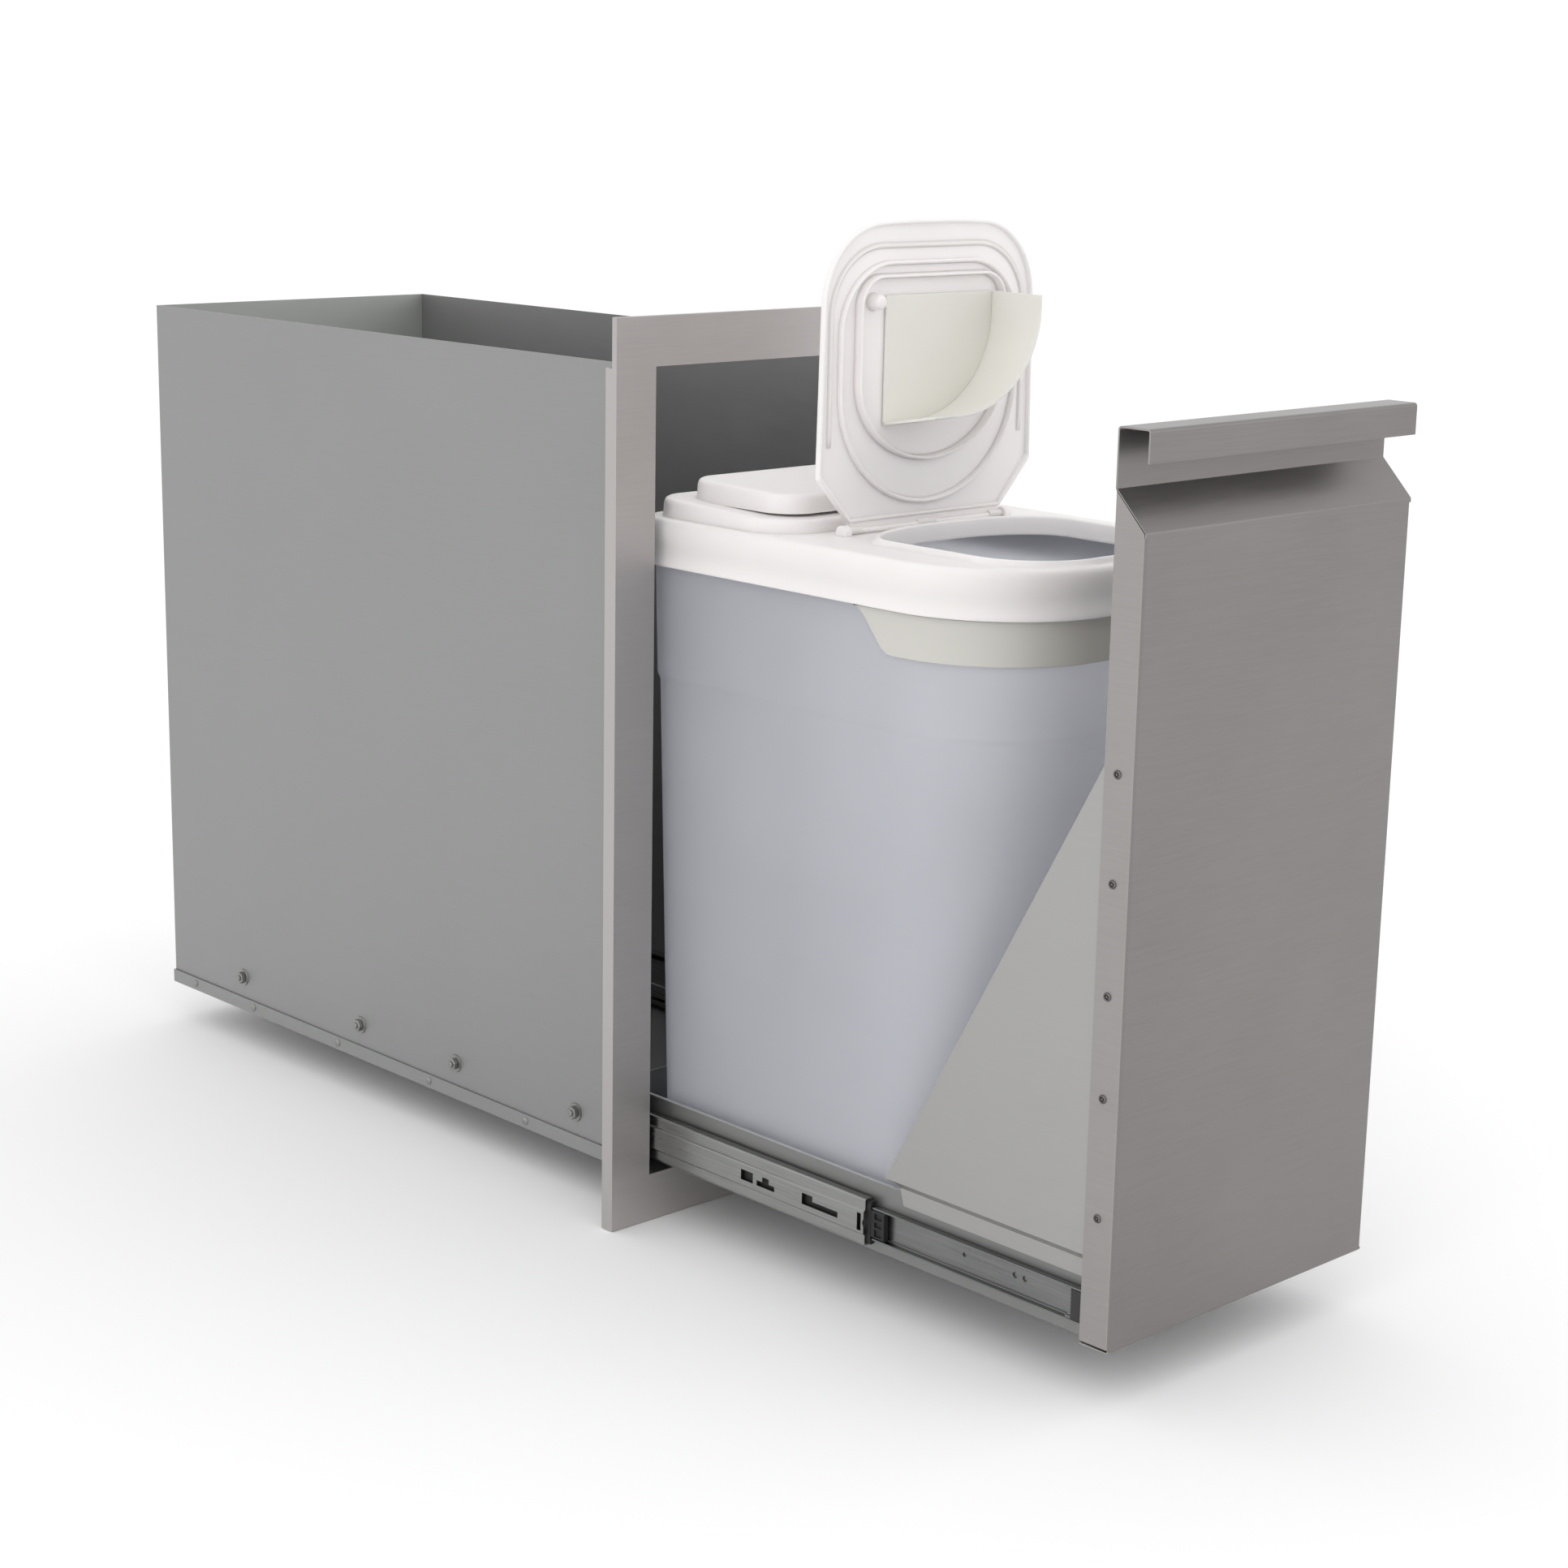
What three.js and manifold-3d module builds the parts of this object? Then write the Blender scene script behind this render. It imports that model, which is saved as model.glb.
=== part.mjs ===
// Pull-out waste bin for a built-in cabinet cut-out: a steel enclosure with a face frame, a drawer on
// ball-bearing slides, and a plastic bin whose lid has a flip flap with a scoop under it.
//
// Millimetres, +Z up. X runs across the unit and Y from the front into the cabinet. The origin is the
// middle of the bottom rail's rear seating face. The drawer stands open and the flap stands up.

import * as THREE from 'three';
import { mergeVertices } from 'three/addons/utils/BufferGeometryUtils.js';
import Module from 'manifold-3d';

const wasm = await Module();
wasm.setup();

// ---- driving dimensions ------------------------------------------------------------------------

const clearance = 0.3;
const sheet = 1.2;

// Face frame, with its rear seat at y = 0.
const frameWidth = 358;
const frameHeight = 686;
const frameDepth = 12;
const sideRail = 37;
const topRail = 36;
const bottomRail = 37;
const topReturnDepth = 5;
const seatLip = 28;
const frameBottom = -bottomRail / 2;
const frameTop = frameBottom + frameHeight;
const openingHalfWidth = frameWidth / 2 - sideRail;
const openingBottom = frameBottom + bottomRail;
const openingTop = frameTop - topRail;

// Enclosure, open at the top and the front.
const enclosureBack = 652;
const wallTop = openingTop - 0.5;
const panUnderside = 15.5;
const panFlangeHeight = 11.5;
const wallBottom = panUnderside + sheet + clearance;
const wallFront = -frameDepth + sheet + clearance;
const wallOuter = openingHalfWidth + sheet;

// Drawer, pulled out towards -Y.
const extension = 455;
const frontFace = -frameDepth - extension;
const frontHalfWidth = 138.4;
const frontBottom = 23.5;
const frontTop = 566;
const returnDepth = 25;
const slopeTop = 591.3;
const handleTop = 630;
const lipHeight = 21.3;
const trayHalfWidth = 129.3;
const trayBottom = 25;
const trayTop = 76.5;
const trayBack = 45;
const trayHem = 3.2;

// Three-member slides.
const slideCentre = 47.5;
const slideLength = 559;
const outerFront = 15;
const middleFront = -240;
const innerFront = -440;
const outerCage = { front: 48, length: 200 };
const innerCage = { front: -257, nose: 13, length: 198 };

// Windows through the middle member's web, measured from its front end and its centre line.
const middleWindows = [
  { from: 26, to: 63, low: -4, high: 0.5 },
  { from: 50, to: 63, low: 0, high: 4.5 },
  { from: 92, to: 111, low: -4, high: 0 },
  { from: 98, to: 105, low: -1, high: 4 },
  { from: 115, to: 128, low: -4, high: 4 },
];

// Bin and lid.
const cornerSteps = 6;
const lidHalfWidth = 132;
const lidFront = -348;
const lidBack = 26;
const lidFrontRadius = 100;
const lidBackRadius = 28;
const lidOutline = {
  halfWidth: lidHalfWidth,
  front: lidFront,
  back: lidBack,
  frontRadius: lidFrontRadius,
  backRadius: lidBackRadius,
};
const skirtBottom = 485.5;
const skirtThickness = 3;
const deckTop = 520.5;
const deckThickness = 2.5;
const lidSteps = [
  { inset: 9, front: -126, top: 535, frontRadius: 40, backRadius: 26 },
  { inset: 27, front: -112, top: 549, frontRadius: 24, backRadius: 24 },
];
const binBottom = 26.7;
const binRimTop = deckTop - deckThickness - 0.4;
const binWall = 2;
const binFoot = { halfWidth: 119, front: -316, back: 5, frontRadius: 72, backRadius: 15 };
const rimInset = 6;
const rimFlare = 2;
const shoulderZ = 398;
const shoulderStep = 1.4;

// Lid opening, with a long easy curve towards the hinge. A low collar stands round it and a thin
// throat hangs below it.
const openingOutline = {
  halfWidth: 91.5,
  front: -336,
  back: -160.5,
  frontRadius: 52,
  backRadius: 78,
  backReach: 43,
};
const collarWidth = 4;
const collarTop = 525;
const throatWall = 2;
const throatBottom = 511;

// Flap, drawn closed with the hinge axis at its origin, then stood up.
const hingeY = -147;
const hingeZ = 523;
const hingeRadius = 2;
const flapUnderside = 2.3;
const flapTopFace = 4.9;
const flapLength = 216;
const flapHalfWidth = 109;
const flapCornerRadius = 57;
const hingePost = { from: 80, to: 86 };
const outerSealOutline = { centreY: -97.5, radius: 90.5, reach: 82.5, cornerRadius: 50 };
const innerSealOutline = { centreY: -104.5, radius: 74, reach: 58, cornerRadius: 22 };

// A low ridge on the flap that passes outside the collar: the front and the sides only.
const outerRidgeOutline = { halfWidth: 98.8, front: -199.5, back: -20, frontRadius: 50, backRadius: 20 };
const outerRidge = { width: 2.4, height: 1.5, end: -60 };

// Scoop, in the flap's own axes: its back lies on the flap's underside.
const scoop = {
  right: 64,
  left: -46,
  near: -73,
  mouth: -164.5,
  cornerX: 80,
  cornerY: 72,
  back: 1.8,
  depth: 52,
  wall: 1.8,
  draft: 9,
};

// Places of repeated fasteners.
const slideBoltY = [75, 229, 362, 540];
const slideBoltZ = 45.5;
const panScrewY = [136, 264, 394, 523, 617];
const panScrewZ = panUnderside + 6;
const frontRivetZ = [115, 197, 266, 340.5, 412];
const frontRivetY = frontFace + 14;

// ---- materials ---------------------------------------------------------------------------------

function finish(color, roughness, metalness) {
  return new THREE.MeshStandardMaterial({ color, roughness, metalness });
}

const brushedSteel = finish(0xa8a4a1, 0.38, 0.9);
const mattSteel = finish(0x9da09d, 0.5, 0.85);
const zincSteel = finish(0x9ea29e, 0.42, 0.85);
const darkPlastic = finish(0x2a2b2c, 0.6, 0);
const binPlastic = finish(0xb4b8c0, 0.45, 0);
const whitePlastic = finish(0xeeebea, 0.42, 0);
const creamPlastic = finish(0xdedbd0, 0.45, 0);

// ---- solids ------------------------------------------------------------------------------------

function toSolid(geometry) {
  const bare = geometry.clone();
  bare.deleteAttribute('normal');
  bare.deleteAttribute('uv');
  const merged = mergeVertices(bare, 1e-4);
  return new wasm.Manifold(new wasm.Mesh({
    numProp: 3,
    vertProperties: new Float32Array(merged.attributes.position.array),
    triVerts: new Uint32Array(merged.index.array),
  }));
}

function toGeometry(solid) {
  const mesh = solid.getMesh();
  const geometry = new THREE.BufferGeometry();
  geometry.setAttribute('position', new THREE.BufferAttribute(new Float32Array(mesh.vertProperties), 3));
  geometry.setIndex(new THREE.BufferAttribute(new Uint32Array(mesh.triVerts), 1));
  return geometry;
}

function join(...geometries) {
  return toGeometry(geometries.map(toSolid).reduce((a, b) => a.add(b)));
}

function cut(geometry, ...tools) {
  return toGeometry(tools.map(toSolid).reduce((a, b) => a.subtract(b), toSolid(geometry)));
}

function meet(a, b) {
  return toGeometry(toSolid(a).intersect(toSolid(b)));
}

function block(x, y, z) {
  const geometry = new THREE.BoxGeometry(x[1] - x[0], y[1] - y[0], z[1] - z[0]);
  return geometry.translate((x[0] + x[1]) / 2, (y[0] + y[1]) / 2, (z[0] + z[1]) / 2);
}

function shapeOf(points) {
  return new THREE.Shape(points.map(([u, v]) => new THREE.Vector2(u, v)));
}

function extrude(shape, from, to) {
  return new THREE.ExtrudeGeometry(shape, { depth: to - from, bevelEnabled: false }).translate(0, 0, from);
}

const axisX = new THREE.Vector3(1, 0, 0);
const axisY = new THREE.Vector3(0, 1, 0);
const axisZ = new THREE.Vector3(0, 0, 1);

// A side outline given as [y, z], carried along X.
function extrudeAlongX(points, from, to) {
  return extrude(shapeOf(points), from, to).applyMatrix4(new THREE.Matrix4().makeBasis(axisY, axisZ, axisX));
}

// A cross-section given as [x, z], carried along Y.
function extrudeAlongY(points, from, to) {
  const swapped = points.map(([x, z]) => [z, x]);
  return extrude(shapeOf(swapped), from, to).applyMatrix4(new THREE.Matrix4().makeBasis(axisZ, axisX, axisY));
}

function rodAlongX(radius, from, to, sides = 12) {
  return new THREE.CylinderGeometry(radius, radius, to - from, sides)
    .rotateZ(Math.PI / 2)
    .translate((from + to) / 2, 0, 0);
}

// Points round part of an ellipse, angles in quarter turns.
function arcPoints(x, y, radiusX, radiusY, fromQuarter, toQuarter, steps = cornerSteps) {
  return Array.from({ length: steps + 1 }, (_, i) => {
    const angle = (fromQuarter + ((toQuarter - fromQuarter) * i) / steps) * (Math.PI / 2);
    return [x + radiusX * Math.cos(angle), y + radiusY * Math.sin(angle)];
  });
}

// A rounded outline seen from above, drawn in by the given amount all round. Its back corners may be
// longer across the unit than they reach forward.
function roundedPoints(shape, inset = 0) {
  const { halfWidth, front, back, frontRadius, backRadius, backReach = backRadius } = shape;
  const w = halfWidth - inset;
  const f = front + inset;
  const b = back - inset;
  const rf = frontRadius - inset;
  const rb = backRadius - inset;
  const reach = backReach - inset;
  return [
    ...arcPoints(w - rf, f + rf, rf, rf, -1, 0),
    ...arcPoints(w - rb, b - reach, rb, reach, 0, 1),
    ...arcPoints(-w + rb, b - reach, rb, reach, 1, 2),
    ...arcPoints(-w + rf, f + rf, rf, rf, 2, 3),
  ];
}

// A D about a centre: round towards +Y by the given reach, rounded corners towards -Y.
function dPoints({ centreY, radius, reach, cornerRadius }, inset = 0) {
  const r = radius - inset;
  const c = cornerRadius - inset;
  return [
    ...arcPoints(r - c, centreY - r + c, c, c, -1, 0),
    ...arcPoints(0, centreY, r, reach - inset, 0, 2, 4 * cornerSteps),
    ...arcPoints(-r + c, centreY - r + c, c, c, 2, 3),
  ];
}

function extrudePoints(points, from, to) {
  return extrude(shapeOf(points), from, to);
}

function dRing(outline, thickness, from, to) {
  return cut(
    extrudePoints(dPoints(outline), from, to),
    extrudePoints(dPoints(outline, thickness), from - 1, to + 1),
  );
}

// A closed skin through rings of equal point count, the first and last ring capped.
function loft(rings) {
  const count = rings[0].length;
  const positions = rings.flat(2);
  const index = [];
  for (let ring = 0; ring + 1 < rings.length; ring += 1) {
    for (let i = 0; i < count; i += 1) {
      const a = ring * count + i;
      const b = ring * count + ((i + 1) % count);
      index.push(a, b, b + count, a, b + count, a + count);
    }
  }
  const last = (rings.length - 1) * count;
  const flatten = (ring) => ring.map(([x, y]) => new THREE.Vector2(x, y));
  THREE.ShapeUtils.triangulateShape(flatten(rings[0]), []).forEach(([a, b, c]) => index.push(a, c, b));
  THREE.ShapeUtils.triangulateShape(flatten(rings[rings.length - 1]), []).forEach(([a, b, c]) => {
    index.push(last + a, last + b, last + c);
  });
  const geometry = new THREE.BufferGeometry();
  geometry.setAttribute('position', new THREE.Float32BufferAttribute(positions, 3));
  geometry.setIndex(index);
  return geometry;
}

// ---- assembly helpers --------------------------------------------------------------------------

const model = new THREE.Group();

function add(name, geometry, material, parent = model) {
  const mesh = new THREE.Mesh(geometry, material);
  mesh.name = name;
  parent.add(mesh);
  return mesh;
}

// The geometry is drawn on the +X side; its twin is the mirror image.
function addPair(name, geometry, material) {
  add(`${name}_right`, geometry, material);
  add(`${name}_left`, geometry, material).scale.x = -1;
}

// ---- enclosure ---------------------------------------------------------------------------------

function makeFaceFrame() {
  const w = frameWidth / 2;
  const face = cut(
    block([-w, w], [-frameDepth, -frameDepth + sheet], [frameBottom, frameTop]),
    block([-openingHalfWidth, openingHalfWidth], [-frameDepth - 1, 0], [openingBottom, openingTop]),
  );
  const topReturn = block([-w, w], [-frameDepth, -frameDepth + topReturnDepth], [frameTop - sheet, frameTop]);
  const bottomReturn = block([-w, w], [-frameDepth, 0], [frameBottom, frameBottom + sheet]);
  const bottomLip = block([-w, w], [-sheet, 0], [frameBottom, frameBottom + seatLip]);
  const sides = [-1, 1].flatMap((side) => {
    const outside = [side * w, side * (w - sheet)].sort((a, b) => a - b);
    const lip = [side * w, side * (w - seatLip)].sort((a, b) => a - b);
    return [
      block(outside, [-frameDepth, 0], [frameBottom, openingTop]),
      block(outside, [-frameDepth, -frameDepth + topReturnDepth], [openingTop - 1, frameTop]),
      block(lip, [-sheet, 0], [frameBottom, openingTop]),
    ];
  });
  return join(face, topReturn, bottomReturn, bottomLip, ...sides);
}

function makeSideWall() {
  return block([openingHalfWidth, wallOuter], [wallFront, enclosureBack], [wallBottom, wallTop]);
}

function makeBackWall() {
  const w = openingHalfWidth - clearance;
  return block([-w, w], [enclosureBack - sheet, enclosureBack], [wallBottom, wallTop]);
}

function makeBasePan() {
  const inner = wallOuter + clearance;
  const outer = inner + sheet;
  const front = wallFront;
  const back = enclosureBack + clearance;
  const floor = panUnderside + sheet;
  const top = panUnderside + panFlangeHeight;
  const section = [
    [-outer, panUnderside],
    [outer, panUnderside],
    [outer, top],
    [inner, top],
    [inner, floor],
    [-inner, floor],
    [-inner, top],
    [-outer, top],
  ];
  return join(
    extrudeAlongY(section, front, back + sheet),
    block([-inner - 0.4, inner + 0.4], [back, back + sheet], [panUnderside + 0.4, top]),
  );
}

// A hexagon nut on its washer, standing off the wall in +X.
function makeSlideBolt(y) {
  const face = wallOuter + 0.05;
  return join(
    rodAlongX(7.5, face, face + 1.2, 16),
    rodAlongX(5.2, face + 1, face + 5, 6),
    rodAlongX(2.6, face + 4.8, face + 6.5, 10),
  ).translate(0, y, slideBoltZ);
}

// A low domed head, standing off a face at x in +X.
function makeDomeHead(x, radius, height) {
  const profile = [
    [0, 0],
    [radius, 0],
    [radius * 0.94, height * 0.45],
    [radius * 0.6, height * 0.9],
    [0, height],
  ].map(([r, h]) => new THREE.Vector2(r, h));
  return new THREE.LatheGeometry(profile, 12).rotateZ(-Math.PI / 2).translate(x, 0, 0);
}

function addEnclosure() {
  add('face_frame', makeFaceFrame(), brushedSteel);
  addPair('side_wall', makeSideWall(), mattSteel);
  add('back_wall', makeBackWall(), mattSteel);
  add('base_pan', makeBasePan(), mattSteel);
  slideBoltY.forEach((y, i) => addPair(`slide_bolt_${i + 1}`, makeSlideBolt(y), zincSteel));
  const flangeFace = wallOuter + clearance + sheet + 0.05;
  panScrewY.forEach((y, i) => {
    addPair(`pan_screw_${i + 1}`, makeDomeHead(flangeFace, 3.2, 1.6).translate(0, y, panScrewZ), zincSteel);
  });
}

// ---- slides ------------------------------------------------------------------------------------

// A channel as [x, z] points: web outermost, two flanges reaching towards the drawer.
function channel(webX, flangeX, halfHeight, thickness, flangeThickness = thickness) {
  const h = halfHeight;
  const c = slideCentre;
  const inside = webX - thickness;
  return [
    [webX, c - h],
    [webX, c + h],
    [flangeX, c + h],
    [flangeX, c + h - flangeThickness],
    [inside, c + h - flangeThickness],
    [inside, c - h + flangeThickness],
    [flangeX, c - h + flangeThickness],
    [flangeX, c - h],
  ];
}

function makeOuterMember() {
  const section = channel(openingHalfWidth - 0.1, 133, 22.5, 1.3);
  return extrudeAlongY(section, outerFront, outerFront + slideLength);
}

// The middle member's web stands out in a central band, with a ball race above and below it.
function makeMiddleMember() {
  const half = 17.5;
  const tip = 131.6;
  const race = 137.8;
  const band = 139.4;
  const outside = [[tip, half], [race, half], [race, 9.6], [band, 8.4]];
  const inside = [[band - sheet, 7.8], [race - sheet, 9], [race - sheet, half - sheet], [tip, half - sheet]];
  const mirrored = (points) => points.slice().reverse().map(([x, z]) => [x, -z]);
  const section = [...outside, ...mirrored(outside), ...mirrored(inside), ...inside];
  const raised = section.map(([x, z]) => [x, z + slideCentre]);
  const member = extrudeAlongY(raised, middleFront, middleFront + slideLength);
  const windows = middleWindows.map(({ from, to, low, high }) => block(
    [race - 3, band + 2],
    [middleFront + from, middleFront + to],
    [slideCentre + low, slideCentre + high],
  ));
  return cut(member, ...windows);
}

// The inner member's web lies on the tray and its flanges reach outwards.
function makeInnerMember() {
  const web = trayHalfWidth + 0.2;
  const tip = web + 5.7;
  const section = channel(tip, web, 12.3, sheet).map(([x, z]) => [web + tip - x, z]);
  return extrudeAlongY(section, innerFront, innerFront + slideLength);
}

function makeOuterCage() {
  const section = channel(140.3, 134, 20.8, 0.6, 2.9);
  return extrudeAlongY(section, outerCage.front, outerCage.front + outerCage.length);
}

// The inner cage's nose lies inside the inner member and stands out in front of the middle member.
function makeInnerCage() {
  const { front, nose, length } = innerCage;
  return join(
    extrudeAlongY(channel(136.2, 131.5, 16, 0.5, 3.2), front + nose, front + length),
    block([131.3, 136], [front, front + nose + 4], [slideCentre - 10.6, slideCentre + 10.6]),
  );
}

function makeBumper() {
  const x0 = trayHalfWidth + 1.7;
  return block([x0, x0 + 4.4], [innerFront + 0.3, innerFront + 9], [slideCentre - 10.6, slideCentre + 10.6]);
}

function addSlides() {
  addPair('slide_outer', makeOuterMember(), zincSteel);
  addPair('slide_middle', makeMiddleMember(), zincSteel);
  addPair('slide_inner', makeInnerMember(), zincSteel);
  addPair('outer_cage', makeOuterCage(), zincSteel);
  addPair('inner_cage', makeInnerCage(), darkPlastic);
  addPair('slide_bumper', makeBumper(), darkPlastic);
}

// ---- drawer ------------------------------------------------------------------------------------

// One folded sheet: the front, a slope leading back from its top edge, a web, and a hooked grip.
function makeDrawerFront() {
  const f = frontFace;
  const back = f + returnDepth;
  const web = back - 0.3;
  const w = frontHalfWidth;
  const bend = 0.5;
  const skin = extrudeAlongX([
    [f, frontBottom],
    [back, frontBottom],
    [back, frontBottom + sheet],
    [f + sheet, frontBottom + sheet],
    [f + sheet, frontTop - bend],
    [web + sheet, slopeTop - bend],
    [web + sheet, handleTop],
    [f, handleTop],
    [f, handleTop - lipHeight],
    [f + sheet, handleTop - lipHeight],
    [f + sheet, handleTop - sheet],
    [web, handleTop - sheet],
    [web, slopeTop],
    [f, frontTop],
  ], -w, w);
  const cheek = [[f, frontBottom], [back, frontBottom], [back, slopeTop - bend], [f, frontTop - bend]];
  return join(
    skin,
    extrudeAlongX(cheek, -w, -w + sheet),
    extrudeAlongX(cheek, w - sheet, w),
  );
}

// The gusset's plate lies inside the cheek and steps in below to lap the tray's side.
function makeGusset() {
  const plate = frontHalfWidth - sheet - 0.2;
  const lap = trayHalfWidth + 0.5 + sheet;
  const stepTop = 86;
  const stepBottom = 80;
  const bottom = 67.5;
  const top = 436.5;
  const section = [
    [plate, stepTop],
    [plate, top],
    [plate - sheet, top],
    [plate - sheet, stepTop + 0.5],
    [lap - sheet, stepBottom + 0.5],
    [lap - sheet, bottom],
    [lap, bottom],
    [lap, stepBottom],
  ];
  const front = frontFace + sheet + clearance;
  const outline = [
    [front, bottom],
    [-271, bottom],
    [-266, 84],
    [-258, stepTop],
    [front + 13, top],
    [front, top],
  ];
  return meet(
    extrudeAlongY(section, front, -250),
    extrudeAlongX(outline, 120, 145),
  );
}

// An open box with a thicker hem along the top of both sides.
function makeTray() {
  const w = trayHalfWidth;
  const front = frontFace + sheet + clearance;
  const insideY = [front + sheet, trayBack - sheet];
  const hemBottom = trayTop - 2;
  return cut(
    block([-w, w], [front, trayBack], [trayBottom, trayTop]),
    block([-w + sheet, w - sheet], insideY, [trayBottom + sheet, hemBottom]),
    block([-w + trayHem, w - trayHem], insideY, [hemBottom - 1, trayTop + 1]),
  );
}

function addDrawer() {
  add('drawer_front', makeDrawerFront(), brushedSteel);
  add('tray', makeTray(), mattSteel);
  addPair('gusset', makeGusset(), mattSteel);
  frontRivetZ.forEach((z, i) => {
    const head = makeDomeHead(frontHalfWidth + 0.05, 3.4, 1.5).translate(0, frontRivetY, z);
    addPair(`front_rivet_${i + 1}`, head, zincSteel);
  });
}

// ---- bin ---------------------------------------------------------------------------------------

// The bin's outline at a height: it widens upwards and steps out a little at the shoulder.
function binRing(z, inset, flare = 0) {
  const rise = (z - binBottom) / (binRimTop - binBottom);
  const blend = (low, high) => THREE.MathUtils.lerp(low, high, rise);
  const step = z > shoulderZ ? 0 : shoulderStep;
  const outline = {
    halfWidth: blend(binFoot.halfWidth, lidHalfWidth - rimInset) - step,
    front: blend(binFoot.front, lidFront + rimInset) + step,
    back: blend(binFoot.back, lidBack - rimInset) - step,
    frontRadius: blend(binFoot.frontRadius, lidFrontRadius - rimInset),
    backRadius: blend(binFoot.backRadius, lidBackRadius - rimInset),
  };
  return roundedPoints(outline, inset - flare).map(([x, y]) => [x, y, z]);
}

function makeBin() {
  const outside = [
    binRing(binBottom, 5),
    binRing(binBottom + 5, 0),
    binRing(shoulderZ, 0),
    binRing(shoulderZ + 6, 0),
    binRing(binRimTop - 7, 0),
    binRing(binRimTop - 6.5, 0, rimFlare),
    binRing(binRimTop, 0, rimFlare),
  ];
  const inside = [
    binRing(binRimTop, binWall),
    binRing(shoulderZ + 6, binWall),
    binRing(shoulderZ, binWall),
    binRing(binBottom + 6, binWall),
    binRing(binBottom + binWall, 6),
  ];
  return loft([...outside, ...inside]);
}

// A grip strip that follows the bin's front under the lid; its lower edge rises at both ends.
function makeBinGrip() {
  const top = skirtBottom - 0.6;
  const bottom = top - 31;
  const gap = 0.6;
  const thickness = 2;
  const startY = -204;
  const band = cut(
    loft([binRing(bottom, -gap - thickness), binRing(top, -gap - thickness)]),
    loft([binRing(bottom - 1, -gap), binRing(top + 1, -gap)]),
  );
  const keep = extrudeAlongX([
    [startY, top + 5],
    [startY, top],
    [startY - 32, bottom + 1.6],
    [startY - 44, bottom - 0.1],
    [lidFront - 20, bottom - 5],
    [lidFront - 20, top + 5],
  ], -frameWidth, frameWidth);
  return meet(band, keep);
}

function addBin() {
  add('bin', makeBin(), binPlastic);
  add('bin_grip', makeBinGrip(), creamPlastic);
}

// ---- lid ---------------------------------------------------------------------------------------

function stepOutline({ inset, front, frontRadius, backRadius }) {
  return {
    halfWidth: lidHalfWidth - inset,
    front,
    back: lidBack - inset,
    frontRadius,
    backRadius,
  };
}

function makeLid() {
  const outer = [extrudePoints(roundedPoints(lidOutline), skirtBottom, deckTop)];
  const hollow = roundedPoints(lidOutline, skirtThickness);
  const inner = [extrudePoints(hollow, skirtBottom - 1, deckTop - deckThickness)];
  let base = deckTop;
  lidSteps.forEach((step) => {
    const outline = stepOutline(step);
    outer.push(extrudePoints(roundedPoints(outline), base - 1, step.top));
    inner.push(extrudePoints(
      roundedPoints(outline, deckThickness),
      base - deckThickness - 1,
      step.top - deckThickness,
    ));
    base = step.top;
  });
  const hole = extrudePoints(roundedPoints(openingOutline), skirtBottom, base);
  const collar = extrudePoints(roundedPoints(openingOutline, -collarWidth), deckTop - 1, collarTop);
  const throat = extrudePoints(roundedPoints(openingOutline, -throatWall), throatBottom, deckTop - 0.5);
  const posts = [-1, 1].map((side) => {
    const x = [side * hingePost.from, side * hingePost.to].sort((a, b) => a - b);
    return block(x, [hingeY - 5, hingeY + 5], [deckTop - 1, hingeZ + 5]);
  });
  const bore = rodAlongX(hingeRadius + 0.35, -hingePost.to - 1, hingePost.to + 1)
    .translate(0, hingeY, hingeZ);
  const shell = cut(join(...outer), ...inner);
  return cut(join(shell, collar, throat, ...posts), hole, bore);
}

// ---- flap --------------------------------------------------------------------------------------

// The flap's outline, cut away beside the hinge and rounded at the tip.
function flapPoints(inset) {
  const side = flapHalfWidth - inset;
  const radius = flapCornerRadius - inset;
  const tip = -flapLength + inset;
  const right = [
    [78 - inset, -6 - inset],
    [side, -38 - inset],
  ];
  const left = right.slice().reverse().map(([x, y]) => [-x, y]);
  return [
    ...right,
    ...arcPoints(side - radius, tip + radius, radius, radius, 0, -1),
    ...arcPoints(-side + radius, tip + radius, radius, radius, -1, -2),
    ...left,
  ];
}

function makeFlap() {
  const plate = extrudePoints(flapPoints(0), flapUnderside, flapTopFace);
  const rim = cut(
    extrudePoints(flapPoints(0), flapUnderside - 3, flapUnderside + 1),
    extrudePoints(flapPoints(3), flapUnderside - 4, flapUnderside + 2),
    block([-flapHalfWidth, flapHalfWidth], [-40, 0], [flapUnderside - 4, flapUnderside]),
  );
  const outerSeal = dRing(outerSealOutline, 2.5, flapUnderside - 4, flapUnderside + 1);
  const innerSeal = dRing(innerSealOutline, 2.2, flapUnderside - 7, flapUnderside + 1);
  const ridge = cut(
    extrudePoints(roundedPoints(outerRidgeOutline), flapUnderside - outerRidge.height, flapUnderside + 1),
    extrudePoints(roundedPoints(outerRidgeOutline, outerRidge.width), flapUnderside - 4, flapUnderside + 2),
    block([-flapHalfWidth, flapHalfWidth], [outerRidge.end, 0], [flapUnderside - 4, flapUnderside + 2]),
  );
  const heel = block([-76, 76], [-8, -0.5], [0, flapTopFace - 0.1]);
  const barrel = rodAlongX(hingeRadius, -hingePost.to + 0.5, hingePost.to - 0.5);
  const peg = new THREE.CylinderGeometry(5.4, 4.6, 12, 12)
    .rotateX(Math.PI / 2)
    .translate(-57.6, -160, flapUnderside - 5);
  return join(plate, rim, ridge, outerSeal, innerSeal, heel, barrel, peg);
}

// ---- scoop -------------------------------------------------------------------------------------

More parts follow.
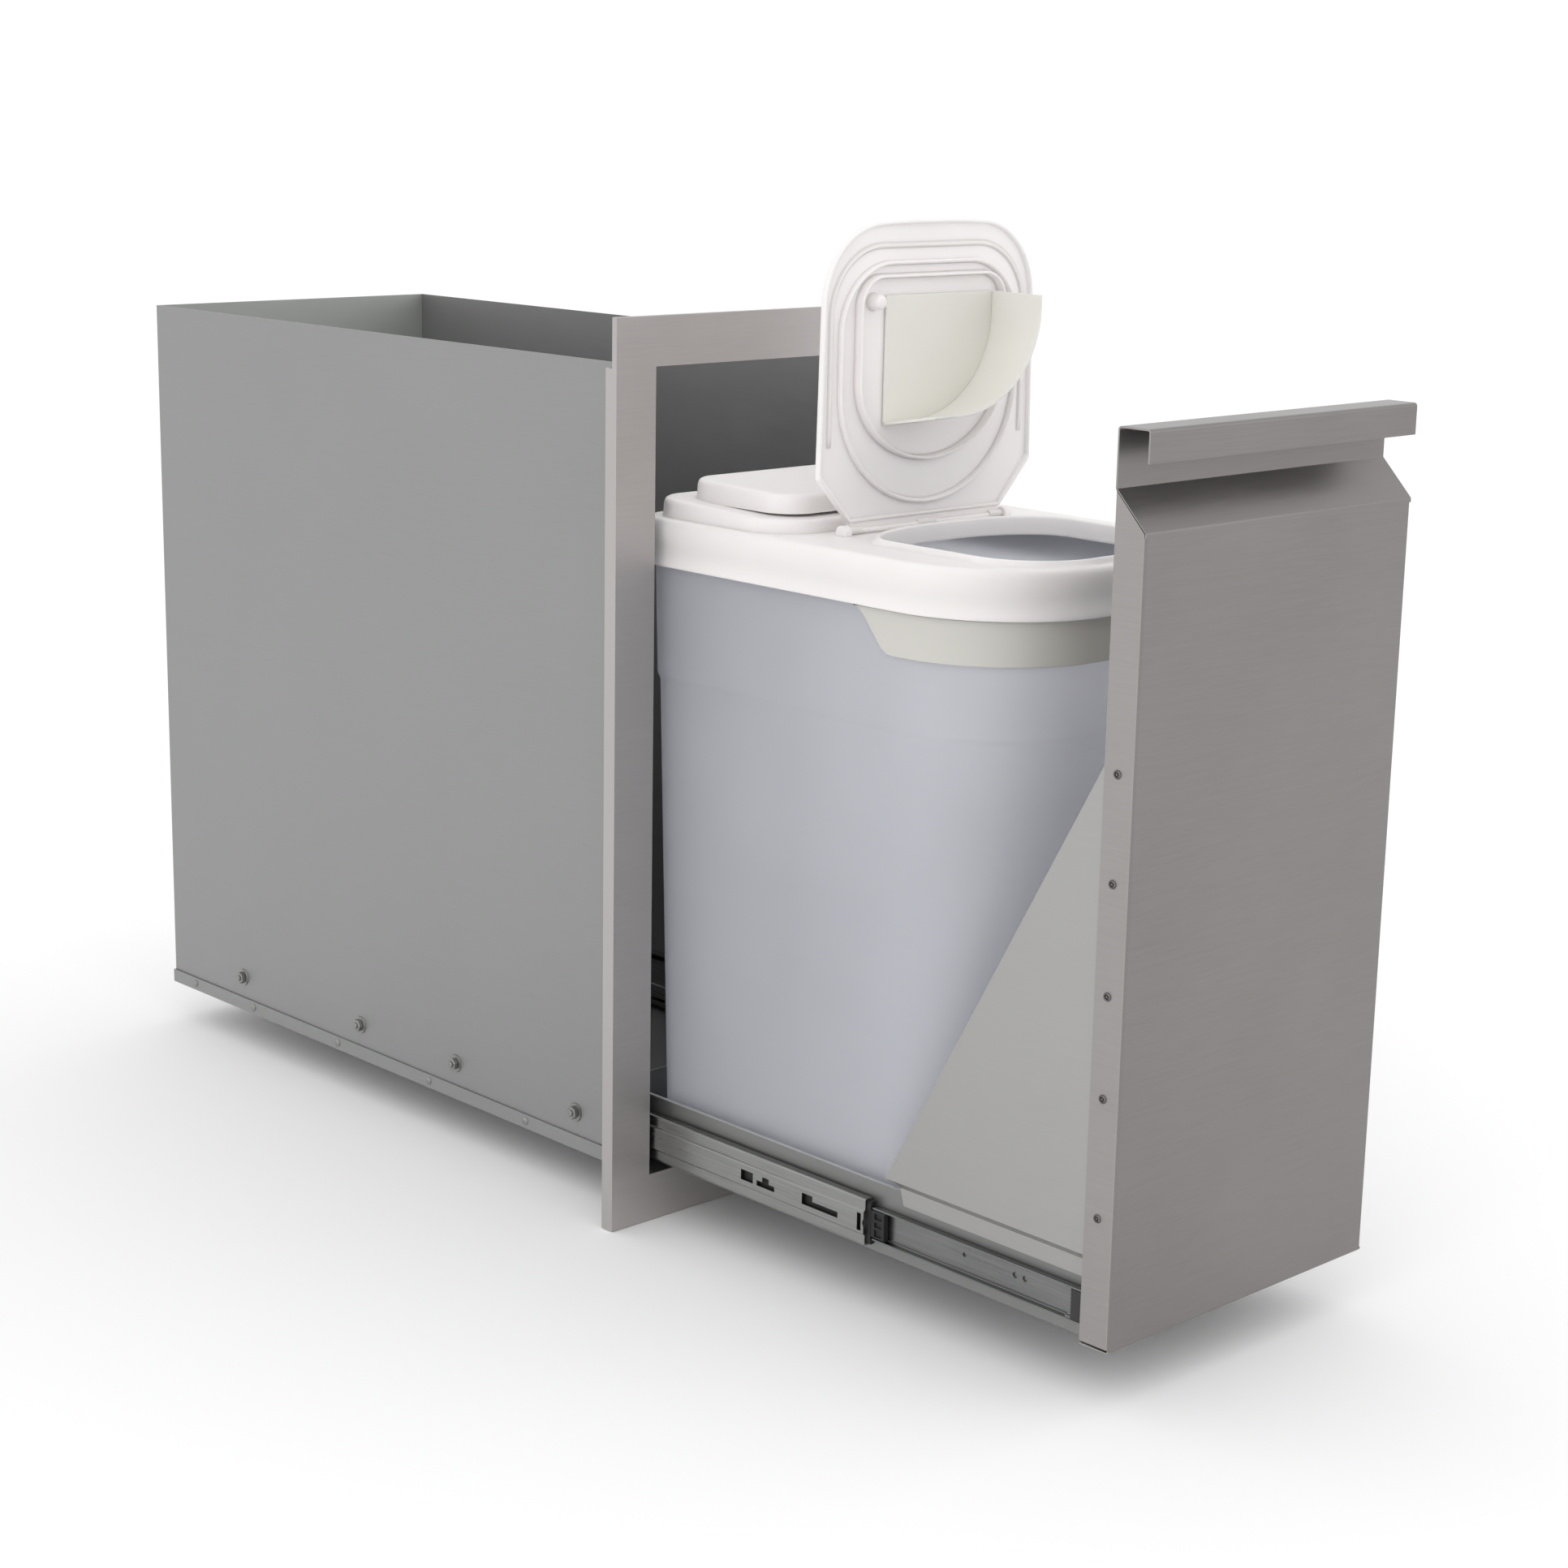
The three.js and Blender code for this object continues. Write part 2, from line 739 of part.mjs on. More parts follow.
// The scoop's outline: up its right side, round a wide corner, and along the side nearest the hinge.
function scoopRing(z, inset, draft, overrun = 0) {
  const right = scoop.right - inset - draft / 3;
  const near = scoop.near - inset - draft;
  const mouth = scoop.mouth - overrun;
  const left = scoop.left - overrun;
  const points = [
    [right, mouth],
    ...arcPoints(right - scoop.cornerX, near - scoop.cornerY, scoop.cornerX, scoop.cornerY, 0, 1),
    [left, near],
    [left, mouth],
  ];
  return points.map(([x, y]) => [x, y, z]);
}

function makeScoop() {
  const free = scoop.back - scoop.depth;
  const floor = scoop.back - scoop.wall;
  const body = loft([scoopRing(free, 0, scoop.draft), scoopRing(scoop.back, 0, 0)]);
  const hollow = loft([scoopRing(free - 2, scoop.wall, scoop.draft, 5), scoopRing(floor, scoop.wall, 0, 5)]);
  return cut(body, hollow);
}

function addLid() {
  add('lid', makeLid(), whitePlastic);
  const standing = new THREE.Group();
  standing.position.set(0, hingeY, hingeZ);
  standing.rotation.x = -Math.PI / 2;
  model.add(standing);
  add('flap', makeFlap(), whitePlastic, standing);
  add('scoop', makeScoop(), creamPlastic, standing);
}

addEnclosure();
addSlides();
addDrawer();
addBin();
addLid();

export default model;
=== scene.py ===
"""Pull-out waste bin in a steel enclosure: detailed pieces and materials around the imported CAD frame."""

import math

import bmesh
import bpy
from mathutils import Matrix, Vector


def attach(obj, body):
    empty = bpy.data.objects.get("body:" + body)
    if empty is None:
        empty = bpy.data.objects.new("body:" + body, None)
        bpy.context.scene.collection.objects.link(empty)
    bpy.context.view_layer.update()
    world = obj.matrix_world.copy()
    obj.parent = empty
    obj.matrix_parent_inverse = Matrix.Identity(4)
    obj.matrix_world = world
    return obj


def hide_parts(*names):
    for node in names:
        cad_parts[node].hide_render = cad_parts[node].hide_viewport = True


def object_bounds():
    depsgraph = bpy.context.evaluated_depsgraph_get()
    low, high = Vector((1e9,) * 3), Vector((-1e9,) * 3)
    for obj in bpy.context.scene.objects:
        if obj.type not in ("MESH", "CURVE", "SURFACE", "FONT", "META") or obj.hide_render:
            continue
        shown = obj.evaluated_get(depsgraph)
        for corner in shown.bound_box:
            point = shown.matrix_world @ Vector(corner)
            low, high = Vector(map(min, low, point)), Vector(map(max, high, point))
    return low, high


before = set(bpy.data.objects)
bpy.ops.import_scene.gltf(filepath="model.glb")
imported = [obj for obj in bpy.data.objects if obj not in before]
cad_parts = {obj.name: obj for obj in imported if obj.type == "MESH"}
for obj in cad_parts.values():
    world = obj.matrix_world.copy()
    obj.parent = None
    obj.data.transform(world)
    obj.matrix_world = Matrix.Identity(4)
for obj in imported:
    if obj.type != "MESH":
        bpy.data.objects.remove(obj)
cad_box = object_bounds()

# ---- dimensions, in millimetres in the row frame ---------------------------------------------

MM = 0.001
SHEET = 1.2

# A face points along an axis when its normal has at least this much of it.
SQUARE_ON = 0.9

# A height between the tray's floor and its upper edges.
TRAY_MIDDLE = 70.0

# Drawer front, a folded sheet.
FRONT_Y = -467.0
FRONT_HALF = 138.4
FRONT_BOTTOM = 23.5
FRONT_TOP = 566.0
RETURN_DEPTH = 25.0
SLOPE_TOP = 591.3
HOOK_TOP = 630.0
HOOK_LIP = 21.3
FOLD_RADIUS = 1.9
FOOT_LAP = 3.0
RIVET_Y = FRONT_Y + 14.0
RIVET_HEIGHTS = (115.0, 197.0, 266.0, 340.5, 412.0)

# Fasteners on the outside of the enclosure: nuts on the wall, screws on the pan's flange.
WALL_FACE = 143.2
NUT_Z = 45.5
NUT_PLACES = (75.0, 229.0, 362.0, 540.0)
FLANGE_FACE = 144.75
SCREW_Z = 21.5
SCREW_PLACES = (136.0, 264.0, 394.0, 523.0, 617.0)

# Slides: the centre line's height, the members' length, and where each starts. MIDDLE_CUT is the range
# of X that the middle member's openings are cut through.
SLIDE_Z = 47.5
SLIDE_LENGTH = 559.0
MIDDLE_FRONT = -240.0
INNER_FRONT = -440.0
MIDDLE_CUT = (135.0, 142.0)
RETAINER_FRONT = -257.0
RETAINER_NOSE = 13.0
RETAINER_BACK = -59.0

# Lid, bin, flap and scoop.
LID = dict(half=132.0, front=-348.0, back=26.0, front_radius=100.0, back_radius=28.0)
SKIRT_BOTTOM = 485.5
DECK = 520.5
COLLAR_TOP = 525.0
HOLE = dict(half=91.5, front=-336.0, back=-160.5, front_radius=52.0, back_radius=78.0, back_reach=43.0)
HINGE_Y = -147.0
HINGE_Z = 523.0
HINGE_POST = (80.0, 86.0)
HEEL_HALF = 76.0
PLATE_BACK = 2.3
SCOOP_DEPTH = 52.0
SCOOP_WALL = 1.8
BIN_BOTTOM = 26.7
BIN_TOP = 517.6
BIN_FOOT = dict(half=119.0, front=-316.0, back=5.0, front_radius=72.0, back_radius=15.0)
RIM_INSET = 6.0
SHOULDER = 398.0
SHOULDER_STEP = 1.4
SHOULDER_RISE = 6.0
GRIP_DROP = 31.0
GRIP_START = -204.0
GRIP_RAMP = 34.0

# The camera solved from the photograph: its place in millimetres, its angles in degrees and its lens.
CAMERA_PLACE = (-1541.99, -1626.08, 833.11)
CAMERA_AZIMUTH = -43.54
CAMERA_ELEVATION = 13.35
CAMERA_ROLL = 1.10
CAMERA_LENS = 68.19


# ---- outlines ------------------------------------------------------------------------------


def arc(x, y, radius_x, radius_y, start, end, steps=14):
    """Points round part of an ellipse, from one angle to another in degrees."""
    points = []
    for i in range(steps + 1):
        angle = math.radians(start + (end - start) * i / steps)
        points.append((x + radius_x * math.cos(angle), y + radius_y * math.sin(angle)))
    return points


def rounded(half, front, back, front_radius, back_radius, inset=0.0, back_reach=None):
    """An outline seen from above with round corners, drawn in by inset all round."""
    w, f, b = half - inset, front + inset, back - inset
    rf, rb = front_radius - inset, back_radius - inset
    reach = (back_reach or back_radius) - inset
    return (
        arc(w - rf, f + rf, rf, rf, -90, 0)
        + arc(w - rb, b - reach, rb, reach, 0, 90)
        + arc(-w + rb, b - reach, rb, reach, 90, 180)
        + arc(-w + rf, f + rf, rf, rf, 180, 270)
    )


def d_outline(centre, radius, reach, corner, inset=0.0):
    """A D seen from above: round towards +Y, with round corners towards -Y."""
    r, c = radius - inset, corner - inset
    return (
        arc(r - c, centre - r + c, c, c, -90, 0)
        + arc(0, centre, r, reach - inset, 0, 180, 44)
        + arc(-r + c, centre - r + c, c, c, 180, 270)
    )


def flap_outline(inset=0.0):
    """The flap seen from above while it lies shut: cut away beside the hinge, round at the tip."""
    side = 109.0 - inset
    tip_side = 106.5 - inset
    radius = 57.0 - inset
    tip = -215.0 + inset
    right = [(78 - inset * 0.6, -6 - inset), (side - 1, -37.5 - inset), (side, -40 - inset)]
    corner = arc(tip_side - radius, tip + radius, radius, radius, 0, -90)
    crown = [(tip_side - radius - 14, tip - 0.7), (tip_side - radius - 30, tip - 1.0)]
    points = right + corner + crown
    return points + [(-x, y) for x, y in reversed(points)]


def at_height(points, z):
    return [(x, y, z) for x, y in points]


# ---- mesh building -------------------------------------------------------------------------


class Build:
    """Collects closed shells, in millimetres, for one piece."""

    def __init__(self):
        self.verts = []
        self.faces = []

    def points(self, points):
        start = len(self.verts)
        self.verts += [tuple(p) for p in points]
        return list(range(start, start + len(points)))

    def loft(self, rings, close_path=False):
        """A skin through rings of equal count, counter-clockwise seen from where they lead."""
        loops = [self.points(ring) for ring in rings]
        pairs = list(zip(loops, loops[1:]))
        if close_path:
            pairs.append((loops[-1], loops[0]))
        count = len(loops[0])
        for low, high in pairs:
            for i in range(count):
                j = (i + 1) % count
                self.faces.append((low[i], low[j], high[j], high[i]))
        if not close_path:
            self.faces.append(tuple(reversed(loops[0])))
            self.faces.append(tuple(loops[-1]))

    def prism(self, outline, low, high, axis="z"):
        """A closed outline carried from low to high along an axis."""
        place = {
            "x": lambda u, v, w: (w, u, v),
            "y": lambda u, v, w: (u, w, v),
            "z": lambda u, v, w: (u, v, w),
        }[axis]
        rings = [[place(u, v, w) for u, v in outline] for w in (low, high)]
        first = len(self.faces)
        self.loft(rings)
        area = sum(a[0] * b[1] - b[0] * a[1] for a, b in zip(outline, outline[1:] + outline[:1]))
        if (area < 0) != (axis == "y"):
            self.faces[first:] = [tuple(reversed(f)) for f in self.faces[first:]]

    def moved(self, transform):
        self.verts = [tuple(transform @ Vector(v)) for v in self.verts]
        return self

    def mirrored(self):
        twin = Build()
        twin.verts = [(-x, y, z) for x, y, z in self.verts]
        twin.faces = [tuple(reversed(f)) for f in self.faces]
        return twin


def stand_up():
    """From the flap lying shut at the origin to the flap standing on its hinge."""
    return Matrix.Translation((0, HINGE_Y, HINGE_Z)) @ Matrix.Rotation(-math.pi / 2, 4, "X")


def piece(name, build, body, material, nodes, sharp=32.0):
    """An object made from the shells, which replaces the CAD nodes and rides on their body."""
    mesh = bpy.data.meshes.new(name)
    mesh.from_pydata([Vector(v) * MM for v in build.verts], [], build.faces)
    mesh.validate()
    bm = bmesh.new()
    bm.from_mesh(mesh)
    bmesh.ops.remove_doubles(bm, verts=bm.verts, dist=1e-6)
    bmesh.ops.dissolve_degenerate(bm, edges=bm.edges, dist=1e-7)
    bmesh.ops.recalc_face_normals(bm, faces=bm.faces)
    bm.to_mesh(mesh)
    bm.free()
    obj = bpy.data.objects.new(name, mesh)
    bpy.context.scene.collection.objects.link(obj)
    mesh.materials.append(material)
    shade(obj, sharp)
    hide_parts(*nodes)
    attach(obj, body)
    return obj


def shade(obj, sharp=32.0, bevel=0.0):
    """Smooth shading that keeps real edges crisp, with an optional small rounded edge."""
    mesh = obj.data
    bm = bmesh.new()
    bm.from_mesh(mesh)
    for face in bm.faces:
        face.smooth = True
    for edge in bm.edges:
        if len(edge.link_faces) == 2:
            edge.smooth = edge.calc_face_angle() < math.radians(sharp)
    bm.to_mesh(mesh)
    bm.free()
    if bevel:
        rounding = obj.modifiers.new("edge_rounding", "BEVEL")
        rounding.width = bevel * MM
        rounding.segments = 3
        rounding.limit_method = "ANGLE"
        rounding.angle_limit = math.radians(35)
        rounding.harden_normals = False
    normals = obj.modifiers.new("face_weighted_normals", "WEIGHTED_NORMAL")
    normals.keep_sharp = not bevel
    normals.weight = 80


def finish_faces(obj, material, chosen):
    """Gives a second material to the faces that chosen picks out."""
    obj.data.materials.append(material)
    for polygon in obj.data.polygons:
        if chosen(polygon):
            polygon.material_index = 1


def carve(obj, build):
    """Cuts closed shells out of a piece."""
    mesh = bpy.data.meshes.new("cutter")
    mesh.from_pydata([Vector(v) * MM for v in build.verts], [], build.faces)
    bm = bmesh.new()
    bm.from_mesh(mesh)
    bmesh.ops.recalc_face_normals(bm, faces=bm.faces)
    bm.to_mesh(mesh)
    bm.free()
    cutter = bpy.data.objects.new("cutter", mesh)
    bpy.context.scene.collection.objects.link(cutter)
    cut = obj.modifiers.new("cut", "BOOLEAN")
    cut.operation = "DIFFERENCE"
    cut.solver = "EXACT"
    cut.use_self = True
    cut.object = cutter
    while obj.modifiers[0] != cut:
        obj.modifiers.move(len(obj.modifiers) - 1, 0)
    kept = [m for m in obj.modifiers if m != cut]
    for modifier in kept:
        modifier.show_viewport = False
    graph = bpy.context.evaluated_depsgraph_get()
    result = bpy.data.meshes.new_from_object(obj.evaluated_get(graph))
    obj.modifiers.remove(cut)
    for modifier in kept:
        modifier.show_viewport = True
    obj.data = result
    bpy.data.objects.remove(cutter)
    return obj


def round_path(points, radius, steps=6):
    """An open polyline with each inner corner turned into an arc."""
    path = [Vector(points[0])]
    for before, corner, after in zip(points, points[1:], points[2:]):
        corner = Vector(corner)
        to_before = (Vector(before) - corner).normalized()
        to_after = (Vector(after) - corner).normalized()
        half = to_before.angle(to_after) / 2
        reach = radius / math.tan(half)
        centre = corner + (to_before + to_after).normalized() * (radius / math.sin(half))
        start = corner + to_before * reach - centre
        end = corner + to_after * reach - centre
        turn = math.atan2(start.x * end.y - start.y * end.x, start.dot(end))
        for i in range(steps + 1):
            path.append(centre + Matrix.Rotation(turn * i / steps, 2) @ start)
    path.append(Vector(points[-1]))
    return path


def sheet_section(points, thickness=SHEET, radius=1.8):
    """The closed cross-section of a folded sheet whose middle line runs through the points."""
    path = round_path(points, radius)
    left, right = [], []
    for i, point in enumerate(path):
        ahead = path[min(i + 1, len(path) - 1)]
        behind = path[max(i - 1, 0)]
        along = (ahead - behind).normalized()
        normal = Vector((-along.y, along.x)) * (thickness / 2)
        left.append(tuple(point + normal))
        right.append(tuple(point - normal))
    return right + left[::-1]


def turned(profile, sides, place, twist=0.0):
    """Rings of a turned shape about +X from (radius, height) pairs."""
    x, y, z = place
    rings = []
    for radius, height in profile:
        ring = []
        for i in range(sides):
            angle = 2 * math.pi * i / sides + twist
            ring.append((x + height, y + radius * math.cos(angle), z + radius * math.sin(angle)))
        rings.append(ring)
    return rings


# ---- materials -----------------------------------------------------------------------------

FINE_GRAIN = 1400

# Noise scales that draw the brushing out along an axis of the part.
LEVEL = (0.03, 1.0, 1.0)
FORE_AND_AFT = (1.0, 0.03, 1.0)
ROLLED = (1.0, 0.02, 1.0)
EVEN = (1.0, 1.0, 1.0)


def node_material(name, color, roughness, metallic=0.0):
    material = bpy.data.materials.new(name)
    material.use_nodes = True
    tree = material.node_tree
    shader = tree.nodes["Principled BSDF"]
    shader.inputs["Base Color"].default_value = (*color, 1)
    shader.inputs["Roughness"].default_value = roughness
    shader.inputs["Metallic"].default_value = metallic
    return material, tree, shader


def noise(tree, scale, stretch=(1, 1, 1), detail=2):
    """Noise in the object's own coordinates, drawn out along an axis by a small stretch value."""
    coords = tree.nodes.new("ShaderNodeTexCoord")
    mapping = tree.nodes.new("ShaderNodeMapping")
    mapping.inputs["Scale"].default_value = stretch
    texture = tree.nodes.new("ShaderNodeTexNoise")
    texture.inputs["Scale"].default_value = scale
    texture.inputs["Detail"].default_value = detail
    texture.inputs["Roughness"].default_value = 0.55
    tree.links.new(coords.outputs["Object"], mapping.inputs["Vector"])
    tree.links.new(mapping.outputs["Vector"], texture.inputs["Vector"])
    return texture.outputs["Fac"]


def spread(tree, value, low, high):
    """Maps a noise value onto a range."""
    remap = tree.nodes.new("ShaderNodeMapRange")
    remap.inputs["From Min"].default_value = 0.3
    remap.inputs["From Max"].default_value = 0.7
    remap.inputs["To Min"].default_value = low
    remap.inputs["To Max"].default_value = high
    tree.links.new(value, remap.inputs["Value"])
    return remap.outputs["Result"]


def tint(tree, value, dark, light):
    """Maps a noise value onto a run between two colours."""
    ramp = tree.nodes.new("ShaderNodeValToRGB")
    ramp.color_ramp.elements[0].position = 0.3
    ramp.color_ramp.elements[0].color = (*dark, 1)
    ramp.color_ramp.elements[1].position = 0.7
    ramp.color_ramp.elements[1].color = (*light, 1)
    tree.links.new(value, ramp.inputs["Fac"])
    return ramp.outputs["Color"]


def relief(tree, shader, value, strength, distance):
    """Fine bumps in the surface from a noise value, with their height in metres."""
    bump = tree.nodes.new("ShaderNodeBump")
    bump.inputs["Strength"].default_value = strength
    bump.inputs["Distance"].default_value = distance
    tree.links.new(value, bump.inputs["Height"])
    tree.links.new(bump.outputs["Normal"], shader.inputs["Normal"])


def scaled(color, factor):
    return tuple(min(1.0, c * factor) for c in color)


def brushed(name, color, roughness, stretch, metallic=1.0, contrast=0.05):
    """Steel with fine parallel brushing along the axis that has the small stretch value."""
    material, tree, shader = node_material(name, color, roughness, metallic)
    lines = noise(tree, 900, stretch, detail=3)
    cloud = noise(tree, 7, detail=3)
    mix = tree.nodes.new("ShaderNodeMix")
    mix.data_type = "FLOAT"
    mix.inputs["Factor"].default_value = 0.45
    tree.links.new(lines, mix.inputs["A"])
    tree.links.new(cloud, mix.inputs["B"])
    color_out = tint(tree, mix.outputs["Result"], scaled(color, 1 - contrast), scaled(color, 1 + contrast))
    tree.links.new(color_out, shader.inputs["Base Color"])
    rough_out = spread(tree, mix.outputs["Result"], roughness - 0.05, roughness + 0.06)
    tree.links.new(rough_out, shader.inputs["Roughness"])
    relief(tree, shader, lines, 0.12, 0.00006)
    return material


def painted_light_towards_zero(tree, color_out, axis, reach, factor):
    """Scales a colour up towards the low end of a piece along an axis: painted light that lifts the plastic
    where it lies in shade.
    """
    coords = tree.nodes.new("ShaderNodeTexCoord")
    split = tree.nodes.new("ShaderNodeSeparateXYZ")
    remap = tree.nodes.new("ShaderNodeMapRange")
    remap.inputs["From Max"].default_value = reach
    remap.inputs["To Min"].default_value = factor
    remap.inputs["To Max"].default_value = 1.0
    scale = tree.nodes.new("ShaderNodeVectorMath")
    scale.operation = "SCALE"
    tree.links.new(coords.outputs["Generated"], split.inputs["Vector"])
    tree.links.new(split.outputs[axis], remap.inputs["Value"])
    tree.links.new(color_out, scale.inputs[0])
    tree.links.new(remap.outputs["Result"], scale.inputs["Scale"])
    return scale.outputs["Vector"]


def frosted(name, color, glow, roughness):
    """Thin frosted plastic: part of the light falling on it passes through and spreads."""
    material, tree, shader = node_material(name, color, roughness)
    cloud = noise(tree, 6)
    color_out = tint(tree, cloud, scaled(color, 0.94), scaled(color, 1.04))
    # Painted light: the bin is lightened towards its bottom and its front, where it lies in shade.
    color_out = painted_light_towards_zero(tree, color_out, "Z", 0.5, 1.22)
    color_out = painted_light_towards_zero(tree, color_out, "Y", 0.55, 1.35)
    tree.links.new(color_out, shader.inputs["Base Color"])
    relief(tree, shader, noise(tree, FINE_GRAIN), 0.06, 0.00005)
    through = tree.nodes.new("ShaderNodeBsdfTranslucent")
    through.inputs["Color"].default_value = (*glow, 1)
    mix = tree.nodes.new("ShaderNodeMixShader")
    mix.inputs["Fac"].default_value = 0.68
    output = tree.nodes["Material Output"]
    tree.links.new(shader.outputs["BSDF"], mix.inputs[1])
    tree.links.new(through.outputs["BSDF"], mix.inputs[2])
    tree.links.new(mix.outputs["Shader"], output.inputs["Surface"])
    return material


def moulded(name, color, roughness, grain=0.1, subsurface=0.0):
    """Moulded plastic with a fine grain and slow changes of tone."""
    material, tree, shader = node_material(name, color, roughness)
    cloud = noise(tree, 9)
    grain_noise = noise(tree, FINE_GRAIN)
    tree.links.new(tint(tree, cloud, scaled(color, 0.97), scaled(color, 1.02)), shader.inputs["Base Color"])
    tree.links.new(spread(tree, cloud, roughness - 0.04, roughness + 0.05), shader.inputs["Roughness"])
    shader.inputs["Subsurface Weight"].default_value = subsurface
    shader.inputs["Subsurface Radius"].default_value = (0.006, 0.006, 0.007)
    shader.inputs["Subsurface Scale"].default_value = 1.0
    relief(tree, shader, grain_noise, grain, 0.00005)
    return material


FACE_STEEL = brushed("face_steel", (0.218, 0.205, 0.201), 0.34, LEVEL, 0.75, 0.08)
# A lighter copy of the face steel for the drawer front's cheeks: painted light from the side, brushed fore
# and aft.
LIT_CHEEK_STEEL = brushed("cheek_steel_painted_light", (0.34, 0.322, 0.316), 0.4, FORE_AND_AFT, 0.75, 0.06)
FRAME_STEEL = brushed("frame_steel", (0.46, 0.437, 0.43), 0.44, LEVEL, 0.75, 0.06)
WALL_STEEL = brushed("wall_steel", (0.30, 0.305, 0.30), 0.44, FORE_AND_AFT, 0.7, 0.05)
BACK_STEEL = brushed("back_steel", (0.45, 0.465, 0.45), 0.5, LEVEL, 0.6, 0.04)
GUSSET_STEEL = brushed("gusset_steel", (0.40, 0.395, 0.385), 0.42, FORE_AND_AFT, 0.8, 0.04)
TRAY_STEEL = brushed("tray_steel", (0.25, 0.255, 0.248), 0.42, FORE_AND_AFT, 0.8, 0.04)
# A much lighter steel for the top faces of the tray's upper edges: a painted highlight.
HEM_HIGHLIGHT_STEEL = brushed("tray_hem_painted_highlight", (0.62, 0.62, 0.61), 0.4, FORE_AND_AFT, 0.6, 0.04)
ZINC = brushed("zinc_plate", (0.31, 0.315, 0.305), 0.3, ROLLED, contrast=0.2)
DARK_ZINC = brushed("inner_zinc_plate", (0.22, 0.226, 0.22), 0.3, ROLLED, contrast=0.2)
FASTENER = brushed("fastener_steel", (0.30, 0.30, 0.29), 0.32, EVEN, contrast=0.1)
RIVET_STEEL = brushed("rivet_steel", (0.17, 0.16, 0.155), 0.35, EVEN, contrast=0.1)
BIN_PLASTIC = frosted("bin_plastic", (0.58, 0.588, 0.62), (0.94, 0.945, 0.965), 0.34)
WHITE_PLASTIC = moulded("white_plastic", (0.85, 0.82, 0.815), 0.38, 0.06, 0.3)
CREAM_PLASTIC = moulded("cream_plastic", (0.78, 0.765, 0.715), 0.4, 0.06, 0.25)
GRIP_PLASTIC = moulded("grip_plastic", (0.58, 0.565, 0.525), 0.4, 0.06, 0.1)
BLACK_PLASTIC = moulded("black_plastic", (0.008, 0.009, 0.008), 0.6, 0.15)
RUBBER = moulded("stop_rubber", (0.03, 0.03, 0.03), 0.7, 0.3)


# ---- carried-over CAD nodes ------------------------------------------------------------------


def dress_cad():
    """The flat sheet parts keep their CAD shape and gain rounded edges and a finish."""
    finishes = {
        "face_frame": (FRAME_STEEL, 0.5),
        "back_wall": (BACK_STEEL, 0.3),
        "base_pan": (WALL_STEEL, 0.3),
        "tray": (TRAY_STEEL, 0.35),
    }
    for side in ("left", "right"):
        finishes[f"side_wall_{side}"] = (WALL_STEEL, 0.3)
        finishes[f"gusset_{side}"] = (GUSSET_STEEL, 0.3)
        finishes[f"slide_outer_{side}"] = (ZINC, 0.35)
        finishes[f"outer_cage_{side}"] = (ZINC, 0.15)
        finishes[f"slide_bumper_{side}"] = (RUBBER, 0.5)
    for name, (material, bevel) in finishes.items():
        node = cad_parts[name]
        node.data.materials.clear()
        node.data.materials.append(material)
        shade(node, bevel=bevel)
    # The tray's upward-facing faces above its middle height take the lighter steel: a painted highlight
    # along its hemmed top edges.
    above_floor = TRAY_MIDDLE * MM
    finish_faces(
        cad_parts["tray"],
        HEM_HIGHLIGHT_STEEL,
        lambda face: face.normal.z > SQUARE_ON and face.center.z > above_floor,
    )


# ---- drawer front ----------------------------------------------------------------------------


def make_drawer_front():
    """One folded sheet: cheeks at the sides, a slope, a web set back, and a hooked grip at the top."""
    build = Build()
    middle = FRONT_Y + SHEET / 2
    web = FRONT_Y + RETURN_DEPTH + 0.3
    cheek = FRONT_HALF - SHEET / 2
    back = FRONT_Y + RETURN_DEPTH
    low, high = FRONT_BOTTOM + FOOT_LAP, FRONT_TOP - FOOT_LAP
    wrap = [(-cheek, back), (-cheek, middle), (cheek, middle), (cheek, back)]
    build.prism(sheet_section(wrap, radius=FOLD_RADIUS), low, high)
    crest = sheet_section([
        (middle, high),
        (middle, FRONT_TOP - 0.3),
        (web, SLOPE_TOP - 0.3),
        (web, HOOK_TOP - SHEET / 2),
        (middle, HOOK_TOP - SHEET / 2),
        (middle, HOOK_TOP - HOOK_LIP),
    ], radius=FOLD_RADIUS)
    build.prism(crest, -FRONT_HALF, FRONT_HALF, "x")
    sole = FRONT_BOTTOM + SHEET / 2
    foot = sheet_section([(middle, low), (middle, sole), (back, sole)])
    build.prism(foot, -cheek, cheek, "x")
    inside = FRONT_Y + 0.8
    gable = [(inside, high), (back, high), (back, SLOPE_TOP - 0.8), (inside, FRONT_TOP)]
    for side in (-1, 1):
        build.prism(gable, side * FRONT_HALF, side * (FRONT_HALF - SHEET), "x")
    face = piece("drawer_face", build, "drawer", FACE_STEEL, ["drawer_front"])
    # The faces that point along X, the cheeks, take the lighter steel: painted light from the side.
    finish_faces(face, LIT_CHEEK_STEEL, lambda polygon: abs(polygon.normal.x) > SQUARE_ON)


def make_rivets():
    """Pull rivets: a flat collar round a deep hollow with the broken stem inside."""
    profile = [
        (0.01, 1.0), (0.9, 0.95), (1.1, 0.1), (1.5, 0.1), (1.7, 1.0), (2.1, 1.4), (2.6, 1.1), (3.0, 0.4),
        (3.1, 0.0), (3.1, -0.2), (0.01, -0.2),
    ]
    for index, z in enumerate(RIVET_HEIGHTS, start=1):
        build = Build()
        build.loft(turned(profile, 24, (FRONT_HALF, RIVET_Y, z)))
        both_sides(f"rivet_{index}", build, "drawer", RIVET_STEEL, f"front_rivet_{index}")


def both_sides(name, build, body, material, node, cutter=None):
    """A piece drawn on the +X side, and its mirror image."""
    for side, made, cut in (
        ("right", build, cutter),
        ("left", build.mirrored(), cutter.mirrored() if cutter else None),
    ):
        obj = piece(f"{name}_{side}", made, body, material, [f"{node}_{side}"])
        if cut:
            carve(obj, cut)


# ---- enclosure fasteners ---------------------------------------------------------------------


